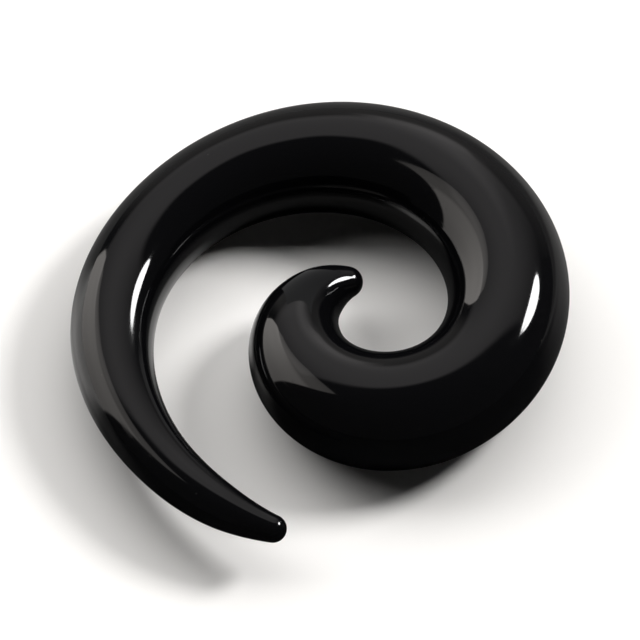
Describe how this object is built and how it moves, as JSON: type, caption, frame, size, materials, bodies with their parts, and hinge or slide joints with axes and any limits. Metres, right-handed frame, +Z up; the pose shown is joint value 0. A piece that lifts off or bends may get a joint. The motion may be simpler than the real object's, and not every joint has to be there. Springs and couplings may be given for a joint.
{
  "type": "spiral ear taper",
  "caption": "Flat open spiral ear taper: a glossy rod that swells from a thin rounded tip to a thick arm and closes in a small inner hook.",
  "frame": {"origin": "middle of the footprint's box, on the surface that the spiral lies on", "axes": "+Z up from that surface, +X to the viewer's right and +Y away from the viewer of the picture; the thin tip is at the front left of the middle"},
  "size_m": [0.0406, 0.0414, 0.0102],
  "materials": {
    "black_acrylic": "polished opaque black acrylic"
  },
  "bodies": {
    "root": {"spiral_taper": "black_acrylic"}
  },
  "joints": []
}
